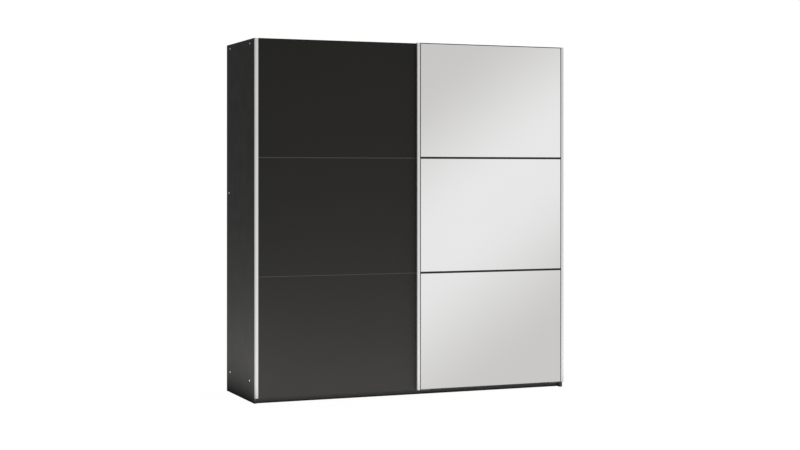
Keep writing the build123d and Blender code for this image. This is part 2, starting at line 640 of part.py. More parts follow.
# ---- Guides at the doors' feet ---------------------------------------------------------------
def guide_plate(middle, board_back, bottom):
    half = BLADE_LENGTH / 2
    plate = block(
        (middle - half, middle + half),
        (board_back, board_back + GUIDE_STEEL),
        (bottom, DOOR_FOOT + GUIDE_PLATE_HEIGHT),
    )
    return chamfer(plate.edges().filter_by(Axis.Y).group_by(Axis.Z)[-1], GUIDE_CORNER)


def guide_arm(middle, board_back, slot, bottom):
    half = BLADE_LENGTH / 2
    depth = (board_back, slot + GUIDE_TOE)
    return block((middle - half, middle + half), depth, (bottom, bottom + GUIDE_STEEL))


def guide_blade(middle, slot, bottom):
    """The sliding blade that stands in its slot, with its upper corners cut off."""
    half = BLADE_LENGTH / 2
    blade = block((middle - half, middle + half), (slot - BLADE / 2, slot + BLADE / 2), (bottom, BLADE_TOP))
    return chamfer(blade.edges().filter_by(Axis.Y).group_by(Axis.Z)[-1], GUIDE_CORNER)


# ---- Sub-parts ------------------------------------------------------------------------------
def carcass_parts():
    parts = {
        "left_side_panel": side_panel(LEFT, INNER_LEFT, FRONT),
        "right_side_panel": side_panel(RIGHT, INNER_RIGHT, FRONT - LANE_PITCH),
        "centre_partition": centre_partition(),
        "top_panel": top_panel(),
        "bottom_panel": bottom_panel(),
        "front_plinth": front_plinth(),
        "rear_plinth": rear_plinth(),
        "plinth_brace": plinth_brace(),
        "back_joining_strips": joining_strips(),
        "shelf_pins": shelf_pins(),
        "clothes_rail_brackets": rail_brackets(),
        "runner_track": runner_track(),
        "track_stop_blocks": stop_blocks(),
        "track_stop_buffers": stop_buffers(),
        "guide_rail": guide_rail(),
    }
    for name, bay in zip(("left", "right"), BAYS):
        parts[f"{name}_rear_rail"] = rear_rail(bay)
        parts[f"{name}_hat_shelf"] = hat_shelf(bay)
        parts[f"{name}_clothes_rail"] = clothes_rail(bay)
    for number, sheet in enumerate(back_sheets(), start=1):
        parts[f"back_sheet_{number}"] = sheet
    parts["carcass_screws"] = group(carcass_screw(*place) for place in screw_places())
    return parts


def rear_door_parts():
    rear = REAR_DOOR_BACK - PROFILE_WALL
    right = REAR_DOOR_LEFT + REAR_DOOR_WIDTH
    middles = ends(REAR_DOOR_LEFT, right, HANGER_OFFSETS)
    feet = ends(REAR_DOOR_LEFT, right, GUIDE_OFFSETS)
    hangers = []
    for middle in middles:
        hanger = hanger_plate(middle, rear, REAR_DOOR_TOP, REAR_ARM_BOTTOM)
        hanger += hanger_arm(middle, rear, REAR_LANE, REAR_ARM_BOTTOM)
        hanger += hanger_cheek(middle, REAR_LANE, REAR_ARM_BOTTOM)
        hangers.append(hanger)
    brackets = [
        guide_plate(foot, rear, DOOR_FOOT) + guide_arm(foot, rear, REAR_SLOT, DOOR_FOOT) for foot in feet
    ]
    blade_bottom = DOOR_FOOT + GUIDE_STEEL
    return {
        "rear_door_board": rear_door_board(),
        "rear_door_handle_profile": edge_profile(REAR_DOOR_LEFT, 1, REAR_DOOR_BACK, REAR_DOOR_TOP),
        "rear_door_inner_profile": edge_profile(right, -1, REAR_DOOR_BACK, REAR_DOOR_TOP),
        "rear_door_trims": rear_door_trims(),
        "rear_door_hangers": group(hangers),
        "rear_door_axles": group(axle(middle, REAR_LANE) for middle in middles),
        "rear_door_guide_brackets": group(brackets),
        "rear_door_guide_blades": group(guide_blade(foot, REAR_SLOT, blade_bottom) for foot in feet),
    }


def mirror_door_parts():
    rear = MIRROR_DOOR_BACK - PROFILE_WALL
    right = MIRROR_DOOR_LEFT + MIRROR_DOOR_WIDTH
    middles = ends(MIRROR_DOOR_LEFT, right, HANGER_OFFSETS)
    feet = ends(MIRROR_DOOR_LEFT, right, GUIDE_OFFSETS)
    arm = DOOR_FOOT - GUIDE_ARM_GAP - GUIDE_STEEL
    blade_bottom = arm + GUIDE_STEEL
    parts = {
        "mirror_door_board": door_board(
            MIRROR_DOOR_LEFT, MIRROR_DOOR_WIDTH, HEIGHT, MIRROR_DOOR_BACK, MIRROR_BOARD
        ),
        "mirror_door_handle_profile": edge_profile(MIRROR_DOOR_LEFT, 1, MIRROR_DOOR_BACK, HEIGHT),
        "mirror_door_outer_profile": edge_profile(right, -1, MIRROR_DOOR_BACK, HEIGHT),
        "mirror_door_dividers": mirror_door_dividers(),
        "mirror_door_hanger_plates": group(
            hanger_plate(middle, rear, HEIGHT, MIRROR_ARM_BOTTOM) for middle in middles
        ),
        "mirror_door_hanger_arms": group(
            hanger_arm(middle, rear, MIRROR_LANE, MIRROR_ARM_BOTTOM) for middle in middles
        ),
        "mirror_door_hanger_cheeks": group(
            hanger_cheek(middle, MIRROR_LANE, MIRROR_ARM_BOTTOM) for middle in middles
        ),
        "mirror_door_axles": group(axle(middle, MIRROR_LANE) for middle in middles),
        "mirror_door_guide_plates": group(guide_plate(foot, rear, blade_bottom) for foot in feet),
        "mirror_door_guide_arms": group(guide_arm(foot, rear, MIRROR_SLOT, arm) for foot in feet),
        "mirror_door_guide_blades": group(guide_blade(foot, MIRROR_SLOT, blade_bottom) for foot in feet),
    }
    for name, pane in zip(("upper", "middle", "lower"), mirror_panes()):
        parts[f"{name}_mirror"] = pane
    return parts


def wheel_parts():
    parts = {}
    for door, left, width, lane in (
        ("rear_door", REAR_DOOR_LEFT, REAR_DOOR_WIDTH, REAR_LANE),
        ("mirror_door", MIRROR_DOOR_LEFT, MIRROR_DOOR_WIDTH, MIRROR_LANE),
    ):
        for side, middle in zip(("left", "right"), ends(left, left + width, HANGER_OFFSETS)):
            parts[f"{door}_{side}_wheel"] = wheel(middle, lane)
    return parts


def main():
    os.makedirs("parts", exist_ok=True)
    parts = carcass_parts() | rear_door_parts() | mirror_door_parts() | wheel_parts()
    for name, solid in parts.items():
        export_step(solid, f"parts/{name}.step")
    print(len(parts), "sub-parts")
    print("door travel:", REAR_DOOR_TRAVEL, MIRROR_DOOR_TRAVEL)
    print("axle height:", AXLE_HEIGHT, "lanes:", REAR_LANE, MIRROR_LANE)


main()
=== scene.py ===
# %% [markdown]
# # A wardrobe with two sliding doors
#
# This lesson dresses an exact model of a wardrobe in Blender.  The model comes packed as a frame:
# every board, profile, wheel and screw already has its true shape and place, in metres, with the
# origin on the floor under the middle of the piece, X to the right and -Y the front.  Our work is
# what a frame lacks: finishes, small fasteners, glass edges, light and a camera.

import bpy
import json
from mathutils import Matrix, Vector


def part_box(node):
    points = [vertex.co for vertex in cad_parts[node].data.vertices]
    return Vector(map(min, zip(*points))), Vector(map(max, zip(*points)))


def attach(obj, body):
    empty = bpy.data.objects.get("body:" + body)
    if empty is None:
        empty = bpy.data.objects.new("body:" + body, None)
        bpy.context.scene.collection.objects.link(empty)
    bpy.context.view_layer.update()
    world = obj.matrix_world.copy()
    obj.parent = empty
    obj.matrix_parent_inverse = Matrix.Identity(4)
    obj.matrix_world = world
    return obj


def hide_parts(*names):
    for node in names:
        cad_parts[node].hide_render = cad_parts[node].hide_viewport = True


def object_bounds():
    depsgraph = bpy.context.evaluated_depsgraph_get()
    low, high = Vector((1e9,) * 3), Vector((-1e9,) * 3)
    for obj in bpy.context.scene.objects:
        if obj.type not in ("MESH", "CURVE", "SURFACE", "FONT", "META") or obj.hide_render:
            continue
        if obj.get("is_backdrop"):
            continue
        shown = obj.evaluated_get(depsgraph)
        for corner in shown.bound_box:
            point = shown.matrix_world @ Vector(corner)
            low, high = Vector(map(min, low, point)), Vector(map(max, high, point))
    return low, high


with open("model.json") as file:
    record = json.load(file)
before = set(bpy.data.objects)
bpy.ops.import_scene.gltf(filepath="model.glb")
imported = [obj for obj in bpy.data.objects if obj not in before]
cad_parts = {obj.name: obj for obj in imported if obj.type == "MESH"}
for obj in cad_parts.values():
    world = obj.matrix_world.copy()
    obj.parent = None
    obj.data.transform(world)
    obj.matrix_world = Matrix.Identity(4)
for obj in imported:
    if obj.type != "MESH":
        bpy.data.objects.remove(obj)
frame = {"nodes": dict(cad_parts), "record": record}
cad_low, cad_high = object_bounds()
print("the frame is", [round(high - low, 4) for low, high in zip(cad_low, cad_high)], "m")

# %% Tools used throughout
import json
import math

import bmesh
import bpy
from mathutils import Matrix, Vector

MM = 0.001
X, Y, Z = (Vector(axis) for axis in ((1, 0, 0), (0, 1, 0), (0, 0, 1)))
print("Blender", bpy.app.version_string)

# %% [markdown]
# ## The camera
#
# Tall furniture looks right when its upright edges stay upright.  They do as long as the camera
# is level, so it isn't tilted, and the lens is shifted down instead to bring the whole piece into
# view.  In Blender that is the camera's `shift_y`, in widths of the picture.

# %% Set up the camera
CAMERA_PLACE = (-3.576, -8.899, 1.3353)
LEVEL_VIEW = math.radians(90)
TURN_TO_RIGHT = math.radians(22.01)
LENS = 69.51
LENS_SHIFT = -0.064

camera = bpy.data.objects.new("camera", bpy.data.cameras.new("camera"))
bpy.context.scene.collection.objects.link(camera)
bpy.context.scene.camera = camera
camera.location = CAMERA_PLACE
camera.rotation_euler = (LEVEL_VIEW, 0, -TURN_TO_RIGHT)
camera.data.lens = LENS
camera.data.shift_y = LENS_SHIFT
print("the camera stands", round(camera.location.xy.length, 2), "m away")

# %% [markdown]
# ## Building node trees with few words
#
# Shader nodes are quick to place by hand and long-winded to place in code.  A few helpers keep
# the cells short.  `add` makes a node, sets its options, and fills or links its sockets: a value
# that is itself a socket is linked, and anything else is written into the socket.  Most of a node
# tree is arithmetic, so the common operations get plain names too.


# %% Helpers for nodes
def add(tree, kind, sockets=None, **options):
    """Add a node; sockets are filled or linked by name or number."""
    made = tree.nodes.new("ShaderNode" + kind)
    for name, value in options.items():
        setattr(made, name, value)
    for name, value in (sockets or {}).items():
        if isinstance(value, bpy.types.NodeSocket):
            tree.links.new(value, made.inputs[name])
        else:
            made.inputs[name].default_value = value
    return made


def grey(level):
    return (level, level, level, 1)


WHITE = grey(1)
print("a colour is four numbers, such as", WHITE)


# %% Arithmetic with nodes
def math_node(tree, operation, *values):
    return add(tree, "Math", dict(enumerate(values)), operation=operation).outputs[0]


def minus(tree, first, second):
    return math_node(tree, "SUBTRACT", first, second)


def dot_product(tree, first, second):
    made = add(tree, "VectorMath", {0: first, 1: second}, operation="DOT_PRODUCT")
    return made.outputs["Value"]


def mix_colours(tree, share, first, second):
    return add(tree, "Mix", {0: share, 6: first, 7: second}, data_type="RGBA").outputs[2]


def smooth_step(tree, value, start, end):
    """0 at start and 1 at end, with a smooth curve between them."""
    sockets = {"Value": value, "From Min": start, "From Max": end}
    return add(tree, "MapRange", sockets, interpolation_type="SMOOTHSTEP").outputs["Result"]


print("arithmetic ready")

# %% [markdown]
# ## The studio
#
# The piece stands on pure white, while its mirrors show a pale grey room with one soft, slanting
# band of light.  A world shader can answer each kind of ray differently.  Camera rays get plain
# white, reflected rays get the room, and everything else gets an even grey that lights the piece
# without colouring it.  A panorama of a real room would serve too, but it would need a picture,
# and a room of a few nodes is easier to tune.
#
# The band is drawn over directions, not over places: one dot product measures how far a direction
# leans to the right and down, and a folded, smoothed distance from the band's middle makes it
# bright.  Folding repeats the band, so the mirrors show one from any side.  Only the half of the
# room in front of the piece is bright.  The half behind it is a plain middle grey, because the
# sides of the piece, seen at a slant, mirror that half, and dark laminate would turn pale.

# %% The room that the mirrors show
ROOM_DARK = (0.634, 0.624, 0.614, 1)
ROOM_BRIGHT = (0.878, 0.871, 0.877, 1)
ROOM_BEHIND = grey(0.52)
BEHIND_START, BEHIND_END = -0.1, 0.3
BAND_LEAN = math.radians(-49.6)
BAND_MIDDLE, BAND_CORE, BAND_EDGE, BAND_REPEAT = 0.2916, 0.008, 0.088, 0.36


def room_light(tree):
    """Colour of the room in a direction: grey with slanting bands, plain behind the piece."""
    direction = add(tree, "TexCoord").outputs["Generated"]
    backward = add(tree, "SeparateXYZ", {0: direction}).outputs["Y"]
    behind = smooth_step(tree, backward, BEHIND_START, BEHIND_END)
    along = dot_product(tree, direction, (math.cos(BAND_LEAN), 0, math.sin(BAND_LEAN)))
    beyond = minus(tree, along, BAND_MIDDLE)
    from_band = math_node(tree, "PINGPONG", beyond, BAND_REPEAT / 2)
    share = smooth_step(tree, from_band, BAND_EDGE, BAND_CORE)
    front = mix_colours(tree, share, ROOM_DARK, ROOM_BRIGHT)
    return mix_colours(tree, behind, front, ROOM_BEHIND)


print("bands of light repeat every", BAND_REPEAT, "of a unit direction")

# %% Light the world
AMBIENT = grey(0.48)

world = bpy.data.worlds.new("studio")
bpy.context.scene.world = world
world.use_nodes = True
tree = world.node_tree
rays = add(tree, "LightPath").outputs
reflected = math_node(tree, "MAXIMUM", rays["Is Glossy Ray"], rays["Is Transmission Ray"])
colour = mix_colours(tree, reflected, AMBIENT, room_light(tree))
colour = mix_colours(tree, rays["Is Camera Ray"], colour, WHITE)
tree.links.new(colour, tree.nodes["Background"].inputs["Color"])
bpy.context.scene.view_settings.view_transform = "Standard"
print("ambient light", AMBIENT[0], "of white")

# %% [markdown]
# ## The floor
#
# The floor is pale and almost disappears into the white, keeping only a breath of shadow under
# the piece.  For the camera it glows just below white and adds a little of the light that falls
# on it, so that only shade can be seen.  Satin metal mirrors that glow in front of the piece,
# where white paper would lie.  Beside and behind the piece it mirrors the plain grey of the room,
# with a painted shadow: the grey is painted dark close to the side panels, where the floor would
# lie in their shade.  The perfectly sharp reflections in the mirrors pass through the floor to
# the room behind it, so that no horizon crosses the glass.

# %% Lay the floor
FLOOR_RADIUS, FLOOR_SIDES = 40.0, 96

bpy.ops.mesh.primitive_circle_add(
    vertices=FLOOR_SIDES, radius=FLOOR_RADIUS, fill_type="NGON", location=(0, 0, 0)
)
floor = bpy.context.object
floor.name = "studio_floor"
floor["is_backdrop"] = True
print("the floor is", 2 * FLOOR_RADIUS, "m across")

# %% Finish the floor
FLOOR, FLOOR_SEEN, FLOOR_GLOW = grey(0.32), grey(0.05), grey(0.975)
PAPER_START, PAPER_END = -0.3, -0.6
PAINTED_SHADE, PAINTED_SHADE_START, PAINTED_SHADE_END = grey(0.03), 1.02, 1.26

material = bpy.data.materials.new("studio_floor")
material.use_nodes = True
tree = material.node_tree
tree.nodes.remove(tree.nodes["Principled BSDF"])
rays = add(tree, "LightPath").outputs
spot = add(tree, "SeparateXYZ", {0: add(tree, "TexCoord").outputs["Object"]}).outputs

thin = add(tree, "BsdfDiffuse", {"Color": FLOOR_SEEN}).outputs[0]
glow = add(tree, "Emission", {"Color": FLOOR_GLOW}).outputs[0]
pale = add(tree, "AddShader", {0: thin, 1: glow}).outputs[0]

# Painted shadow: the floor seen in reflections glows grey, painted dark close to the side panels
# as if in their shade.
shade = smooth_step(tree, math_node(tree, "ABSOLUTE", spot["X"]), PAINTED_SHADE_START, PAINTED_SHADE_END)
mirrored_with_painted_shade = mix_colours(tree, shade, PAINTED_SHADE, ROOM_BEHIND)
mirrored_with_painted_shade = add(tree, "Emission", {"Color": mirrored_with_painted_shade}).outputs[0]
lit = add(tree, "BsdfDiffuse", {"Color": FLOOR}).outputs[0]
lit = add(tree, "MixShader", {0: rays["Is Glossy Ray"], 1: lit, 2: mirrored_with_painted_shade}).outputs[0]

paper = smooth_step(tree, spot["Y"], PAPER_START, PAPER_END)
paper = math_node(tree, "MULTIPLY", rays["Is Glossy Ray"], paper)
seen = math_node(tree, "MAXIMUM", rays["Is Camera Ray"], paper)
surface = add(tree, "MixShader", {0: seen, 1: lit, 2: pale}).outputs[0]
clear = add(tree, "BsdfTransparent").outputs[0]
surface = add(tree, "MixShader", {0: rays["Is Singular Ray"], 1: surface, 2: clear}).outputs[0]
tree.links.new(surface, tree.nodes["Material Output"].inputs["Surface"])
floor.data.materials.append(material)
print("the floor glows at", FLOOR_GLOW[0], "of white")

# %% [markdown]
# ## The lamps
#
# Dark furniture is hard to light: with light from above only, its foot sinks into black.  Studios
# lay white cards on the floor, and the laminate then grows lighter towards its foot.  The cards
# here are area lamps that face up.  The one in front reaches in under the doors, so that the
# plinth behind them gets its share; the ones at the sides lie a hand's width away, which leaves
# the last strip of the side panels in the dark.  A large soft box in front fills the faces
# evenly.  None of the lamps shows in reflections.


# %% Place the lamps
def area_lamp(name, centre, size, radiance, aim):
    """A rectangular lamp; radiance 1 is as bright as white paper in full light."""
    data = bpy.data.lights.new(name, "AREA")
    data.shape = "RECTANGLE"
    data.size, data.size_y = size
    data.energy = radiance * math.pi * size[0] * size[1]
    lamp = bpy.data.objects.new(name, data)
    bpy.context.scene.collection.objects.link(lamp)
    lamp.location = centre
    lamp.rotation_euler = (Vector(aim) - Vector(centre)).to_track_quat("-Z", "Y").to_euler()
    lamp.visible_camera = False
    lamp.visible_glossy = False
    print(name, "at", [round(value, 2) for value in lamp.location])


CARD_HEIGHT = 0.002
FRONT_CARD, FRONT_CARD_LIGHT, UNDER_DOORS = (3.2, 1.0), 3.5, 0.04
SIDE_CARD, SIDE_CARD_LIGHT, SIDE_CARD_GAP, SIDE_CARD_MIDDLE = (0.3, 1.6), 12.0, 0.24, 0.1
SOFT_BOX, SOFT_BOX_LIGHT = (3.5, 2.5), 0.9
SOFT_BOX_PLACE, SOFT_BOX_AIM = (2.5, -6.0, 3.6), (0, 0, 1.1)

card = Vector((0, cad_low.y + UNDER_DOORS - FRONT_CARD[1] / 2, CARD_HEIGHT))
area_lamp("front_card", card, FRONT_CARD, FRONT_CARD_LIGHT, card + Z)
for side, name in ((-1, "left_card"), (1, "right_card")):
    away = cad_high.x + SIDE_CARD_GAP + SIDE_CARD[0] / 2
    card = Vector((side * away, SIDE_CARD_MIDDLE, CARD_HEIGHT))
    area_lamp(name, card, SIDE_CARD, SIDE_CARD_LIGHT, card + Z)
area_lamp("soft_box", SOFT_BOX_PLACE, SOFT_BOX, SOFT_BOX_LIGHT, SOFT_BOX_AIM)

# %% [markdown]
# ## Effects that several finishes share
#
# Real finishes have traits in common: a fine texture, settled dust, brushing lines.  Each such
# effect is one shader group with named sockets.  A group only works out colours, masks and
# heights; the Principled shader that uses them stays in the material, where it is easy to find.
# `start_group` opens a group with named inputs and outputs, and `give_out` links its results.

# %% Helpers for groups
SOCKET_KINDS = {1: "NodeSocketFloat", 3: "NodeSocketVector", 4: "NodeSocketColor"}


def start_group(name, inputs, outputs):
    """A shader group; inputs maps names to defaults, outputs maps names to 1, 3 or 4 numbers."""
    tree = bpy.data.node_groups.new(name, "ShaderNodeTree")
    for socket, default in inputs.items():
        kind = SOCKET_KINDS[len(default) if isinstance(default, tuple) else 1]
        made = tree.interface.new_socket(name=socket, in_out="INPUT", socket_type=kind)
        made.default_value = default
    for socket, size in outputs.items():
        kind = SOCKET_KINDS[size]
        tree.interface.new_socket(name=socket, in_out="OUTPUT", socket_type=kind)
    given, out = tree.nodes.new("NodeGroupInput"), tree.nodes.new("NodeGroupOutput")
    return tree, given.outputs, out.inputs


def give_out(tree, out, **values):
    """Link values to the group outputs of the same name."""
    for name, value in values.items():
        tree.links.new(value, out[name])


print("sockets hold", ", ".join(str(size) for size in SOCKET_KINDS), "numbers")

# %% [markdown]
# Small irregularities make a surface look real.  `noise` makes Blender's cloudy noise, `remap`
# slides a value from one range to another, and `swing` does that for a noise, whose values keep
# to the middle of 0 to 1.

# %% Noise and shades
NOISE_LOW, NOISE_HIGH = 0.3, 0.7


def plus(tree, first, second):
    return math_node(tree, "ADD", first, second)


def times(tree, first, second):
    return math_node(tree, "MULTIPLY", first, second)


def scaled(tree, colour, factor):
    """A colour, as a socket or as numbers, made darker or lighter."""
    colour = colour[:3] if isinstance(colour, tuple) else colour
    made = add(tree, "VectorMath", {0: colour, "Scale": factor}, operation="SCALE")
    return made.outputs[0]


def noise(tree, vector, scale=1.0, detail=2.0, roughness=0.5):
    sockets = {"Vector": vector, "Scale": scale, "Detail": detail, "Roughness": roughness}
    return add(tree, "TexNoise", sockets).outputs[0]


def remap(tree, value, low, high, from_low=0.0, from_high=1.0):
    sockets = {"Value": value, "From Min": from_low, "From Max": from_high}
    sockets.update({"To Min": low, "To Max": high})
    return add(tree, "MapRange", sockets).outputs["Result"]


def swing(tree, value, low, high):
    """Let a noise swing between low and high."""
    return remap(tree, value, low, high, NOISE_LOW, NOISE_HIGH)


print("a noise keeps to", NOISE_LOW, "to", NOISE_HIGH)

# %% [markdown]
# The first effect is the skin of a melamine board: printed paper pressed with a fine, soft
# texture.  Its shade drifts slightly over a hand's breadth, its gloss drifts with the pressing,
# and its height is a dense grain about half a millimetre wide.  A picture of the decor would
# repeat on such large boards, and noise never does.

# %% Laminate skin
laminate_skin, given, out = start_group(
    "Laminate skin",
    {"Coordinates": (0, 0, 0), "Colour": grey(0.03), "Drift": 0.08, "Grain Size": 0.0006,
     "Gloss": 0.45},
    {"Colour": 4, "Roughness": 1, "Height": 1},
)
tree, place = laminate_skin, given["Coordinates"]
per_metre = math_node(tree, "DIVIDE", 1.0, given["Grain Size"])
fine = noise(tree, place, scale=per_metre, detail=3.0, roughness=0.6)
broad = noise(tree, place, scale=3.5, detail=3.0)
drift = times(tree, minus(tree, broad, 0.5), given["Drift"])
grain = times(tree, minus(tree, fine, 0.5), given["Drift"])
shade = plus(tree, plus(tree, drift, 1.0), grain)
pressed = noise(tree, place, scale=9.0)
give_out(
    tree, out,
    Colour=scaled(tree, given["Colour"], shade),
    Roughness=plus(tree, given["Gloss"], swing(tree, pressed, -0.04, 0.04)),
    Height=fine,
)
print("laminate skin:", len(tree.nodes), "nodes")

# %% [markdown]
# Brushed and drawn metal carries fine parallel lines.  A noise whose coordinates are squeezed
# across the lines and stretched along them gives exactly that.  `Lines` says how many there are
# per metre in each direction: thousands across, a handful along.  Broader streaks, each as wide
# as many lines, lie over them.

# %% Drawn lines
LINES_SHARE, STREAKS_SHARE, STREAKS_PER_LINE = 0.6, 0.4, 0.04


def stretched(tree, vector, factors):
    """Coordinates times a factor for each axis, which squeezes a pattern along that axis."""
    return add(tree, "VectorMath", {0: vector, 1: factors}, operation="MULTIPLY").outputs[0]


drawn_lines, given, out = start_group(
    "Drawn lines",
    {"Coordinates": (0, 0, 0), "Lines": (2600, 2600, 5)},
    {"Value": 1, "Height": 1},
)
tree = drawn_lines
squeezed = stretched(tree, given["Coordinates"], given["Lines"])
lines = noise(tree, squeezed, detail=3.0, roughness=0.7)
streaks = noise(tree, scaled(tree, squeezed, STREAKS_PER_LINE))
value = plus(tree, times(tree, lines, LINES_SHARE), times(tree, streaks, STREAKS_SHARE))
give_out(tree, out, Value=value, Height=lines)
print("drawn lines:", len(tree.nodes), "nodes")

# %% [markdown]
# Dust settles only on faces that look up.  The mask is the upward part of the normal, taken in
# the object's own space so that it travels with a sliding door, and broken up by a soft noise.
# It starts on faces whose normal is `DUST_HOLDS` upright and is full on level ones.

# %% Settled dust
DUST_HOLDS, DUST_LIES = 0.6, 1.0

settled_dust, given, out = start_group(
    "Settled dust", {"Coordinates": (0, 0, 0), "Amount": 0.3}, {"Mask": 1}
)
tree = settled_dust
upward = add(tree, "SeparateXYZ", {0: add(tree, "TexCoord").outputs["Normal"]}).outputs["Z"]
patches = noise(tree, given["Coordinates"], scale=7.0, detail=5.0, roughness=0.65)
held = remap(tree, upward, 0, 1, DUST_HOLDS, DUST_LIES)
mask = times(tree, held, swing(tree, patches, 0.3, 1.0))
give_out(tree, out, Mask=times(tree, mask, given["Amount"]))
print("settled dust:", len(tree.nodes), "nodes")

# %% [markdown]
# Some boards have one face unlike the others: a raw edge at the back, or the brown rear of a
# hardboard sheet.  This group marks the faces that look one way, give or take 45 degrees.

# %% Faces that look one way
MUCH_ALIKE = 0.7

facing, given, out = start_group("Facing", {"Way": (0, 1, 0)}, {"Mask": 1})
tree = facing
agreement = dot_product(tree, add(tree, "TexCoord").outputs["Normal"], given["Way"])
give_out(tree, out, Mask=math_node(tree, "GREATER_THAN", agreement, MUCH_ALIKE))
print("facing:", len(tree.nodes), "nodes")

# %% [markdown]
# Moulded plastic and rubber keep the spark-eroded surface of their mould: a tight, even texture
# with a slow wander in its gloss.

# %% Moulded texture
moulded_texture, given, out = start_group(
    "Moulded texture",
    {"Coordinates": (0, 0, 0), "Grain Size": 0.0004, "Gloss": 0.4},
    {"Roughness": 1, "Height": 1},
)
tree, place = moulded_texture, given["Coordinates"]
per_metre = math_node(tree, "DIVIDE", 1.0, given["Grain Size"])
pits = noise(tree, place, scale=per_metre, roughness=0.6)
wander = swing(tree, noise(tree, place, scale=60.0), -0.05, 0.05)
give_out(tree, out, Roughness=plus(tree, given["Gloss"], wander), Height=pits)
print("moulded texture:", len(tree.nodes), "nodes")

# %% [markdown]
# Zinc plating is passivated after the bath, and the thin film shifts between cool and warm greys
# in small clouds.  Fresh plating is bright, and handled plating duller.

# %% Zinc bloom
COOL_ZINC, WARM_ZINC = (0.93, 0.96, 1.0, 1), (1.0, 0.97, 0.88, 1)

zinc_bloom, given, out = start_group(
    "Zinc bloom",
    {"Coordinates": (0, 0, 0), "Brightness": 0.6, "Gloss": 0.3},
    {"Colour": 4, "Roughness": 1},
)
tree = zinc_bloom
clouds = noise(tree, given["Coordinates"], scale=55.0, detail=4.0, roughness=0.6)
tint = mix_colours(tree, remap(tree, clouds, 0, 1, 0.35, 0.65), COOL_ZINC, WARM_ZINC)
give_out(
    tree, out,
    Colour=scaled(tree, tint, given["Brightness"]),
    Roughness=plus(tree, given["Gloss"], swing(tree, clouds, 0.08, -0.05)),
)
print("zinc bloom:", len(tree.nodes), "nodes")

# %% [markdown]
# Under its skin a board is pressed wood chips.  They show where an edge is left unbanded, which
# on a wardrobe is the edge that faces the wall.  Voronoi cells a few millimetres wide, each in
# its own shade of straw, look like that; noise would be too soft, like stone.

# %% Chipboard core
CHIPS_PER_METRE, CHIP_FLATNESS = 420.0, (1.0, 1.0, 2.2)
DARK_CHIP, PALE_CHIP = (0.19, 0.12, 0.062, 1), (0.50, 0.37, 0.22, 1)

chipboard, given, out = start_group(
    "Chipboard", {"Coordinates": (0, 0, 0)}, {"Colour": 4, "Height": 1}
)
tree = chipboard
flattened = stretched(tree, given["Coordinates"], CHIP_FLATNESS)
chips = add(tree, "TexVoronoi", {"Vector": flattened, "Scale": CHIPS_PER_METRE}).outputs
shade = add(tree, "SeparateXYZ", {0: chips["Color"]}).outputs["X"]
colour = mix_colours(tree, shade, DARK_CHIP, PALE_CHIP)
give_out(tree, out, Colour=colour, Height=chips["Distance"])
print("chipboard:", len(tree.nodes), "nodes")

# %% [markdown]
# ## Finishes
#
# Every material starts the same way, so `begin` opens one and hands back its node tree and the
# object's own coordinates, `place_group` puts an effect into it, `finish` fills the Principled
# shader, and `bump` turns a height into a normal.  Object coordinates matter on a piece that
# moves: the grain stays on the door.


# %% Start and finish a material
DUST = (0.34, 0.33, 0.31, 1)


def begin(name):
    material = bpy.data.materials.new(name)
    material.use_nodes = True
    tree = material.node_tree
    return material, tree, add(tree, "TexCoord").outputs["Object"]


def place_group(tree, group, **sockets):
    """Put a group into a material with its own values; an underscore stands for a space."""
    values = {name.replace("_", " "): value for name, value in sockets.items()}
    return add(tree, "Group", values, node_tree=group).outputs


def finish(tree, **sockets):
    """Fill or link sockets of the material's Principled shader; underscores stand for spaces."""
    shader = tree.nodes["Principled BSDF"]
    for name, value in sockets.items():
        socket = shader.inputs[name.replace("_", " ")]
        if isinstance(value, bpy.types.NodeSocket):
            tree.links.new(value, socket)
        else:
            socket.default_value = value


def bump(tree, height, depth, strength):
    sockets = {"Height": height, "Distance": depth, "Strength": strength}
    return add(tree, "Bump", sockets).outputs[0]


def dusted(tree, place, colour, amount):
    mask = place_group(tree, settled_dust, Coordinates=place, Amount=amount)["Mask"]
    return mix_colours(tree, mask, colour, DUST)


print("dust is", DUST[:3])

# %% [markdown]
# ### Laminate
#
# The doors and the carcass share one dark decor: a charcoal with a hint of warmth, lightly
# textured and satin.  Dark laminate owes much of its look to what it reflects, so the specular
# level is kept low and the roughness fairly high; otherwise the panels would turn grey under the
# soft box.  Boards that end at the wall have a raw edge there, on the side that `raw_way` names.


# %% Laminate materials
CHARCOAL, WARM_CHARCOAL = (0.0275, 0.0270, 0.0262, 1), (0.0244, 0.0236, 0.0223, 1)
RAW_ROUGHNESS = 0.85
TO_THE_WALL = (0, 1, 0)


def laminate(name, colour, gloss, shine, raw_way=None):
    material, tree, place = begin(name)
    skin = place_group(tree, laminate_skin, Coordinates=place, Colour=colour, Gloss=gloss)
    colour, roughness, height = skin["Colour"], skin["Roughness"], skin["Height"]
    if raw_way:
        raw = place_group(tree, facing, Way=raw_way)["Mask"]
        core = place_group(tree, chipboard, Coordinates=place)
        colour = mix_colours(tree, raw, colour, core["Colour"])
        roughness = math_node(tree, "MAXIMUM", roughness, times(tree, raw, RAW_ROUGHNESS))
        height = plus(tree, height, times(tree, raw, core["Height"]))
    finish(
        tree,
        Base_Color=dusted(tree, place, colour, amount=0.22),
        Roughness=roughness,
        Normal=bump(tree, height, depth=0.03 * MM, strength=0.5),
        Specular_IOR_Level=shine,
    )
    return material


finishes = {
    "carcass_laminate": laminate(
        "carcass_laminate", CHARCOAL, gloss=0.45, shine=0.015, raw_way=TO_THE_WALL),
    "plinth_laminate": laminate("plinth_laminate", CHARCOAL, gloss=0.45, shine=0.2),
    "door_laminate": laminate("door_laminate", WARM_CHARCOAL, gloss=0.42, shine=0.12),
    "mirror_carrier": laminate("mirror_carrier", CHARCOAL, gloss=0.6, shine=0.12),
}
print(", ".join(finishes))

